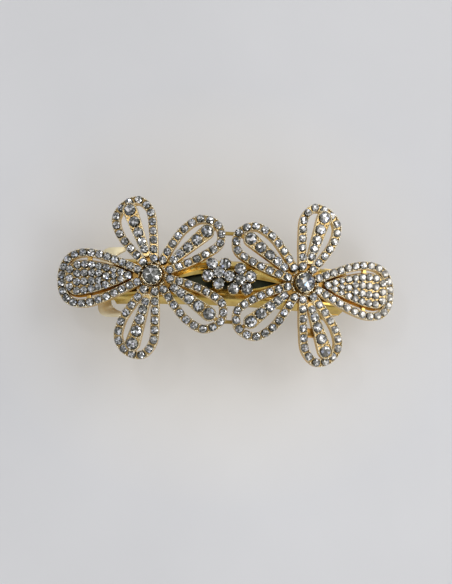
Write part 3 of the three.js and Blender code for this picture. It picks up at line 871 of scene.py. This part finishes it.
# %% Cast both flowers
petal_paths = {}
for flower, (side, _) in FLOWERS.items():
    cast = Casting()
    plain, ending = placer(flower), placer(flower, end=True)
    paths = []
    for far in (-1, 1):
        for outline in (TALL_PETAL, INWARD_PETAL):
            paths.append((plain, mirrored(outline, side, far), LOOP_STEPS, LOOP_STONES))
        struts = [(plain, INWARD_STRUT, RAIL, None), (ending, PANEL_STRUT, RAIL, None)]
        # The wide strut under the near right petal gets the full painted shade of the foot.
        if side > 0 > far:
            struts.append((plain, TALL_STRUT, WIDE_RAIL, 1.0))
        for place, strut, section, painted_shade in struts:
            cast.painted_shade = painted_shade
            cast.sweep(place, [Vector(p) for p in mirrored(strut, side, far)], section)
        cast.painted_shade = None
    paths.append((ending, mirrored(END_PETAL, side, 1), END_STEPS, END_STONES))
    for place, outline, steps, _ in paths:
        cast.sweep(place, smooth_path(outline, steps), CHANNEL)
    petal_paths[flower] = paths
    for place, root, tip in bars_of(flower):
        cast.stack(place, bar_outline(root, tip, BAR_RADII), TRAY_LAYERS)
    cast.stack(panel_placer(flower), panel_outline(side), PANEL_LAYERS)
    circle = [Vector((p.x, p.y)) for p in ring((HUB_INNER + HUB_OUTER) / 2, 0, 40)]
    # The hub gets the full painted shade of the foot, under the centre stone.
    cast.painted_shade = 1.0
    cast.sweep(plain, circle, HUB, closed=True)
    piece = finished(cast.builder, flower + "_flower_casting", 35, cast_gold)
    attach(piece, "root")
    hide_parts(flower + "_flower")

# %% [markdown]
# ## Setting the stones
# Seventeen stones fill each tall and inward loop and twenty-four the end loop. A bar takes five
# that grow towards its tip, and the panel is paved in columns, one stone at the neck and four at
# the wide end. Between two stones the setter raises a pair of beads from the lips of the channel
# to hold them.

# %% Rows in the loops, on the bars and on the panels
SEAT_RISE = 0.16
LOOP_STONE = 1.25
LIP_BEAD, LIP_BEAD_OUT, LIP_BEAD_RISE = 0.3, 0.98, 0.08
BAR_SEATS = [1.12, 1.3, 1.6, 1.85, 1.95]
BAR_STONES = [1.24, 1.38, 1.55, 1.7, 1.8]
BAR_GAP = 0.1
BAR_BEAD, BAR_BEAD_RISE, TIP_BEAD = 0.27, 0.1, 0.34
PAVE_STONE = 1.2
PAVE_PITCH = 2.3
PAVE_COLUMNS = 9
PAVE_BEAD_RISE = 0.3
HUB_BEADS = 20


def seat(place, x, y, z, radius):
    flat_x, flat_y, flat_z = place(x, y, z)
    return over_arch(flat_x, flat_y, flat_z), facing(flat_x, flat_y), radius


def loop_row(place, outline, count):
    """Stones along a petal, and the beads between them."""
    path = smooth_path(outline, 2 * (count - 1))
    left = sideways(path)
    stones = [seat(place, p.x, p.y, SEAT_RISE, LOOP_STONE) for p in path[::2]]
    beads = []
    for p, n in zip(path[1::2], left[1::2]):
        for offset in (-LIP_BEAD_OUT, LIP_BEAD_OUT):
            beads.append(seat(place, *(p + n * offset), LIP_BEAD_RISE, LIP_BEAD))
    return stones, beads


def bar_row(place, root, tip):
    along = (Vector(tip) - Vector(root)).normalized()
    across = Vector((-along.y, along.x))
    away = (Vector(tip) - Vector(root)).length
    far = sum(2 * r + BAR_GAP for r in BAR_SEATS) - BAR_GAP - BAR_SEATS[0] - BAR_SEATS[-1]
    at = away - far
    stones, beads = [], []
    for k, (room, radius) in enumerate(zip(BAR_SEATS, BAR_STONES)):
        p = Vector(root) + along * at
        stones.append(seat(place, p.x, p.y, SEAT_RISE, radius))
        if k < len(BAR_SEATS) - 1:
            between = Vector(root) + along * (at + room + BAR_GAP / 2)
            for offset in (-0.95, -0.4, 0.4, 0.95):
                b = between + across * offset * radius * 0.9
                beads.append(seat(place, b.x, b.y, BAR_BEAD_RISE, BAR_BEAD))
            at += room + BAR_GAP + BAR_SEATS[k + 1]
    end = Vector(tip) + along * (BAR_RADII[1] - 0.2)
    beads.append(seat(place, end.x, end.y, 0.15, TIP_BEAD))
    return stones, beads


def panel_width(x):
    outline = [(PANEL_NECK, 0.6)] + PANEL_HALF + [(PANEL_TIP, 1.5)]
    for (x0, y0), (x1, y1) in zip(outline, outline[1:]):
        if x0 <= x <= x1:
            return y0 + (y1 - y0) * (x - x0) / (x1 - x0)
    return 0


def pave(place, side):
    stones, beads = [], []
    first, last = PANEL_NECK + 0.95, PANEL_TIP - 1.45
    step = (last - first) / (PAVE_COLUMNS - 1)
    for k in range(PAVE_COLUMNS):
        x = first + step * k
        room = panel_width(x) - PAVE_STONE + 0.12
        count = 1 + round(2 * room / PAVE_PITCH)
        rows = [0.0] if count == 1 else [room * (2 * i / (count - 1) - 1) for i in range(count)]
        pitch = rows[1] - rows[0] if count > 1 else 2 * PAVE_STONE
        radius = min(PAVE_STONE, 0.53 * pitch)
        stones += [seat(place, side * x, y, SEAT_RISE, radius) for y in rows]
        for y in [rows[0] - pitch / 2] + [y + pitch / 2 for y in rows]:
            if k + 1 < PAVE_COLUMNS and abs(y) < panel_width(x + step / 2) - 0.3:
                beads.append(seat(place, side * (x + step / 2), y, PAVE_BEAD_RISE, BAR_BEAD))
    return stones, beads


def hub_beads(place):
    """Beads on the hub: near and far ones by turns, and a sunken one beside each."""
    beads = []
    for k in range(HUB_BEADS):
        radius, size = (3.95, 0.34) if k % 2 else (6.1, 0.28)
        for way, out, rise, bead in ((k + 0.5, radius, 0.0, size), (k + 1, 4.05, -0.3, 0.3)):
            angle = way * 2 * math.pi / HUB_BEADS
            beads.append(seat(place, out * math.cos(angle), out * math.sin(angle), rise, bead))
    return beads


for flower, (side, _) in FLOWERS.items():
    rows = [loop_row(place, outline, count) for place, outline, _, count in petal_paths[flower]]
    rows += [bar_row(*bar) for bar in bars_of(flower)]
    rows.append(pave(panel_placer(flower), side))
    stones = [stone for row, _ in rows for stone in row]
    beads = [bead for _, row in rows for bead in row] + hub_beads(placer(flower))
    lean = math.radians(7)
    piece = set_pieces(flower + "_flower_stones", stones, small_cut, crystal, lean, 20 + side)
    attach(piece, "root")
    piece = set_pieces(flower + "_flower_beads", beads, bead_shape, bead_gold, 0.1, 30 + side)
    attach(piece, "root")

# %% [markdown]
# ## Milgrain
# Fine beads run along both lips of every loop and round the trays. They are what makes the edges
# of the ornament sparkle pale against the gold of the walls, painted deeper as shade.

# %% Milgrain on the loops, bars and panels
GRAIN_SPACING, GRAIN_RADIUS = 0.46, 0.16
GRAIN_INSET, GRAIN_RISE = 0.14, 0.02


def line_beside(place, path, offset):
    pairs = zip(path, sideways(path))
    return [over_arch(*place(*(p + n * offset), GRAIN_RISE)) for p, n in pairs]


for flower, (side, _) in FLOWERS.items():
    lines = []
    for place, outline, steps, _ in petal_paths[flower]:
        path = smooth_path(outline, steps)
        for offset in (GRAIN_INSET - half_loop, half_loop - GRAIN_INSET):
            lines.append(line_beside(place, path, offset))
    trays = [(place, bar_outline(root, tip, BAR_RADII)) for place, root, tip in bars_of(flower)]
    trays.append((panel_placer(flower), panel_outline(side)))
    for place, edge in trays:
        lines.append(line_beside(place, edge + edge[:1], GRAIN_INSET))
    name = flower + "_flower_milgrain"
    piece = bead_edges(name, lines, GRAIN_SPACING, GRAIN_RADIUS, bead_gold)
    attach(piece, "root")

# %% [markdown]
# ## Centre stones
# Each flower's middle holds one large stone in a cup with ten claws. The stone is the same
# brilliant with twelve corners, so its facets make the fine spokes of a larger cut. A claw is a
# round wire that leaves the cup, follows the stone's side and ends in a polished bead over its
# edge.

# %% Cups, claws and centre stones
CENTRE_RADIUS = 2.8
CENTRE_LIFT = 1.3
CENTRE_CUP = [(2.35, -1.95), (3.0, -1.95), (3.1, -1.85), (3.1, 0.35), (3.0, 0.5), (2.5, 0.5)]
CENTRE_CUP += [(2.35, 0.3)]
CLAWS = 10
CLAW_LINE = [(3.2, -0.4), (3.26, 0.9), (3.16, 1.5), (2.9, 1.78)]
CLAW_WIRE, CLAW_TIP = 0.2, 0.28


def stiff_placer(x, y):
    """Places a rigid setting that was made round its own axis."""
    normal = facing(x, y)
    turn = Vector((0, 0, 1)).rotation_difference(normal).to_matrix()
    origin = over_arch(x, y)
    return lambda point: origin + turn @ (Vector(point) * MM)


def lathe(builder, put, profile, sides):
    """A closed ring of the given profile, (radius, height) anticlockwise."""
    rows = []
    for out in ring(1, 0, sides):
        rows.append([builder.verts.new(put((out.x * r, out.y * r, z))) for r, z in profile])
    skin(builder, rows, closed=True)


def wire(builder, put, points, radius, sides=8):
    """A round wire through points, closed at both ends."""
    rows = []
    for k, p in enumerate(points):
        along = (points[min(k + 1, len(points) - 1)] - points[max(k - 1, 0)]).normalized()
        out = along.orthogonal().normalized()
        other = along.cross(out)
        around = [p + out * q.x + other * q.y for q in ring(radius, 0, sides)]
        rows.append([builder.verts.new(put(q)) for q in around])
    skin(builder, rows, closed=False)


for flower, (side, _) in FLOWERS.items():
    middle_x = side * FLOWER_SPACING / 2
    put, up = stiff_placer(middle_x, 0), facing(middle_x, 0)
    builder = bmesh.new()
    lathe(builder, put, CENTRE_CUP, 40)
    tips = []
    for out in ring(1, 0, CLAWS, 0.5):
        points = [out * r + Vector((0, 0, z)) for r, z in CLAW_LINE]
        wire(builder, put, points, CLAW_WIRE)
        tips.append((put(points[-1]), up, CLAW_TIP))
    piece = finished(builder, flower + "_centre_setting", 40, bead_gold)
    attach(piece, "root")
    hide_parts(flower + "_centre_cup")
    piece = set_pieces(flower + "_claw_tips", tips, bead_shape, bead_gold)
    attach(piece, "root")
    heart = (put((0, 0, CENTRE_LIFT)), up, CENTRE_RADIUS)
    cut = clear_cut if flower == "left" else blue_cut
    piece = set_pieces(flower + "_centre_brilliant", [heart], cut, crystal, 0.02, 40 + side)
    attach(piece, "root")
    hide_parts(flower + "_centre_stone")

# %% [markdown]
# ## The cluster
# Between the flowers eleven stones sit close together, as two small daisies that share a stone.
# Each has its own cup, and the cups touch, so the setting looks like a honeycomb from below. Two
# posts carry it on the plate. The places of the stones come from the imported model.

# %% Cups and stones of the cluster
CLUSTER_STONES = 11
CLUSTER_CUP = [(1.1, -2.1), (1.7, -2.1), (1.8, -1.95), (1.8, -0.5), (1.7, -0.3), (1.3, -0.3)]
CLUSTER_CUP += [(1.1, -0.5)]
CLUSTER_BEADS, CLUSTER_BEAD, CLUSTER_BEAD_OUT, CLUSTER_BEAD_RISE = 5, 0.22, 1.72, 0.1
BEADS_TURN = -16.5
POST_RADIUS = 1.3

cluster_seats, cluster_beads = [], []
builder = bmesh.new()
up = facing(0, CLUSTER_Y)
turn = Vector((0, 0, 1)).rotation_difference(up).to_matrix()
for k in range(CLUSTER_STONES):
    low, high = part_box(f"cluster_stone_{k + 1}")
    centre = (low + high) / 2
    centre.z = high.z - middle_top + CLUSTER_STONE_LIFT * MM
    cluster_seats.append((centre, up, CLUSTER_STONE_RADIUS + 0.08))
    put = lambda point, centre=centre: centre + turn @ (Vector(point) * MM)
    lathe(builder, put, CLUSTER_CUP, 24)
    turned = BEADS_TURN / 360 * CLUSTER_BEADS + (k % 2) / 2
    for out in ring(CLUSTER_BEAD_OUT, CLUSTER_BEAD_RISE, CLUSTER_BEADS, turned):
        cluster_beads.append((put(out), up, CLUSTER_BEAD))
for k in (2, 7):
    low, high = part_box(f"cluster_stone_{k}")
    foot = (low + high) / 2
    foot.z = plate_level.z + 0.2 * MM
    head = Vector((foot.x, foot.y, high.z - 2.5 * MM))
    wire(builder, Vector, [foot, head], POST_RADIUS * MM, 16)
piece = finished(builder, "cluster_setting", 40, pressed_gold)
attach(piece, "root")
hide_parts("cluster_frame")
piece = set_pieces("cluster_stones", cluster_seats, small_cut, crystal, math.radians(8), 5)
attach(piece, "root")
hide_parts(*[f"cluster_stone_{k + 1}" for k in range(CLUSTER_STONES)])
piece = set_pieces("cluster_beads", cluster_beads, bead_shape, bead_gold, 0.1, 6)
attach(piece, "root")

# %% [markdown]
# ## The pressed plate
# The plate is one pressing: a flat crown whose sides slope down, a pointed slot in the middle and
# a raised lens-shaped rib round the slot that stiffens it. It is drawn as a net of points, with
# one line of the net along the slot's edge, and Solidify gives the net the thickness of the
# sheet. Where the press sinks the face, the sheet gets thinner and its underside stays level, so
# the leaf spring has room to rise below it. The lugs that carry the hinge pin are added as closed
# shells.

# %% Draw and press the plate
PLATE_LENGTH = 71
PLATE_CENTRE = 1
SHEET = 0.8
CROWN, SHOULDER, SKIRT = 4.4, 5.9, 7.0
SHOULDER_DEPTH, FLANGE_DEPTH = 1.3, 5.0
SLOT_HALF = 15
SLOT_SIDES = {1: 2.4, -1: 3.0}
RIB_HALF = 19.5
RIB_REACH = 4.3
RIB_FADE = 3
CREST, CREST_WIDTH = 0.32, 0.42
VALLEY, VALLEY_WIDTH, VALLEY_OUT = 0.28, 0.5, 1.0
DISH, DISH_WIDTH = 0.4, 0.9
BEND = [(4.9, -0.25), (5.45, -0.75), (SHOULDER, -SHOULDER_DEPTH), (6.3, -2.5), (6.66, -3.8)]
BEND += [(SKIRT, -FLANGE_DEPTH)]
LUG_RADIUS = 2.5
start, end = PLATE_CENTRE - PLATE_LENGTH / 2, PLATE_CENTRE + PLATE_LENGTH / 2


def slot_edge(x, far):
    """Half the slot's width. The far side is narrower towards the hinge."""
    side = SLOT_SIDES[far] * max(0.0, 1 - (x / SLOT_HALF) ** 2)
    if far > 0 and x > 0:
        side *= 0.5 + 0.5 * max(0.0, 1 - x / 4)
    return side


def relief(x, y):
    """Height of the pressed rib over the plate."""
    if abs(x) > RIB_HALF:
        return 0.0
    off = abs(y) - RIB_REACH * (1 - (x / RIB_HALF) ** 2)
    crest = CREST * math.exp(-((off / CREST_WIDTH) ** 2))
    valley = VALLEY * math.exp(-(((off - VALLEY_OUT) / VALLEY_WIDTH) ** 2))
    dish = DISH * (1 - math.exp(-((off / DISH_WIDTH) ** 2))) if off < 0 else 0
    return min(1.0, (RIB_HALF - abs(x)) / RIB_FADE) * (crest - valley - dish)


def plate_row(x, far, stations):
    inner = slot_edge(x, far)
    crown = [inner + (CROWN - inner) * t for t in stations]
    return [(x, far * y, relief(x, y)) for y in crown] + [(x, far * y, z) for y, z in BEND]


stations = [k / 12 for k in range(13)]
columns = sorted({start + PLATE_LENGTH * k / 94 for k in range(95)} | {-SLOT_HALF, SLOT_HALF})
builder = bmesh.new()
sunk = builder.verts.layers.float.new("sunk")
for far in (1, -1):
    before = None
    for x in columns:
        row = []
        for k, place in enumerate(plate_row(x, far, stations)):
            row.append(builder.verts.new(over_plate(*place)))
            row[-1][sunk] = -place[2] * MM if k < len(stations) else 0
        if before:
            for k in range(len(row) - 1):
                builder.faces.new((before[k], row[k], row[k + 1], before[k + 1]))
        before = row
bmesh.ops.remove_doubles(builder, verts=builder.verts, dist=1e-6)
bmesh.ops.recalc_face_normals(builder, faces=builder.faces)
if sum(f.normal.z for f in builder.faces) < 0:
    bmesh.ops.reverse_faces(builder, faces=builder.faces)
pressing = bpy.data.meshes.new("plate_pressing")
builder.to_mesh(pressing)
builder.free()
plate = link("plate_pressing", pressing)
thick = plate.modifiers.new("sheet", "SOLIDIFY")
thick.thickness = SHEET * MM
thick.offset = -1
graph = bpy.context.evaluated_depsgraph_get()
solid = bpy.data.meshes.new_from_object(plate.evaluated_get(graph), depsgraph=graph)
plate.modifiers.clear()
plate.data = solid
for k in range(len(pressing.vertices), len(solid.vertices)):
    solid.vertices[k].co.z += max(0.0, solid.attributes["sunk"].data[k].value)

builder = bmesh.new()
builder.from_mesh(solid)
pin_low, pin_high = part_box("hinge_pin")
pin = (pin_low + pin_high) / 2
HINGE_X = end - 2.8
for far in (-1, 1):
    rows = []
    for y in (SKIRT - SHEET, SKIRT):
        top = over_plate(HINGE_X, far * y, -FLANGE_DEPTH + 0.3)
        normal = facing(HINGE_X, 0, None)
        along = Vector((normal.z, 0, -normal.x))
        outline = [top + along * LUG_RADIUS * MM, top - along * LUG_RADIUS * MM]
        centre = Vector((pin.x, top.y, pin.z))
        for k in range(13):
            angle = math.radians(180 + 180 * k / 12)
            out = along * math.cos(angle) + normal * math.sin(angle)
            outline.append(centre + out * LUG_RADIUS * MM)
        rows.append([builder.verts.new(p) for p in outline])
    skin(builder, rows, closed=False)
mesh = close_up(builder, "plate_pressing", 32)
mesh.materials.clear()
mesh.materials.append(pressed_gold)
plate.data = mesh
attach(plate, "root")
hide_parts("top_plate")
print("plate", len(mesh.polygons), "faces")

# %% [markdown]
# ## The mechanism
# The arm, the ears of the catch, the leaf spring, the pin and the rivets already have the right
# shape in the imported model. A copy of each is merged into a clean mesh and its edges are rounded
# a little, because a tumbled and plated stamping has no sharp edge. The copy then stands for the
# node on the same body.

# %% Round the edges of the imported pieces
SHARP = 0.6


def tumbled(node, body, slot, finish, width):
    builder = bmesh.new()
    builder.from_mesh(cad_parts[node].data)
    bmesh.ops.remove_doubles(builder, verts=builder.verts, dist=2e-6)
    corners = [e for e in builder.edges if len(e.link_faces) == 2 and e.calc_face_angle(0) > SHARP]
    rounding = {"offset": width * MM, "segments": 2, "profile": 0.6, "clamp_overlap": True}
    bmesh.ops.bevel(builder, geom=corners, affect="EDGES", **rounding)
    wide = [face for face in builder.faces if len(face.verts) > 4]
    bmesh.ops.triangulate(builder, faces=wide)
    piece = finished(builder, node + "_tumbled", 35, finish)
    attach(piece, body)
    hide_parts(node)


for node, body, slot, finish, width in (
    ("clasp_arm", "clasp_arm", "pale_gold", cream_gold, 0.2),
    ("catch_ear_far", "catch_ear_far", "pale_gold", cream_gold, 0.16),
    ("catch_ear_near", "catch_ear_near", "pale_gold", cream_gold, 0.16),
    ("tension_spring", "tension_spring", "spring_steel", blued_steel, 0.1),
    ("catch_base", "root", "pale_gold", cream_gold, 0.16),
    ("hinge_pin", "root", "gold", pressed_gold, 0.12),
    ("catch_rivet", "root", "gold", pressed_gold, 0.15),
    ("spring_rivet", "root", "gold", pressed_gold, 0.15),
    ("left_solder_pad", "root", "gold", cast_gold, 0.3),
    ("right_solder_pad", "root", "gold", cast_gold, 0.3),
    ("far_bridge", "root", "gold", dark_gold, 0.2),
    ("near_bridge", "root", "gold", dark_gold, 0.2),
):
    tumbled(node, body, slot, finish, width)

# %% [markdown]
# ## Finish
# The patterns were only moulds, so they go.

# %% Clean up and measure
for pattern in patterns:
    bpy.data.objects.remove(pattern)
low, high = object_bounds()
print("finished clip", [round(v / MM, 1) for v in high - low], "mm")
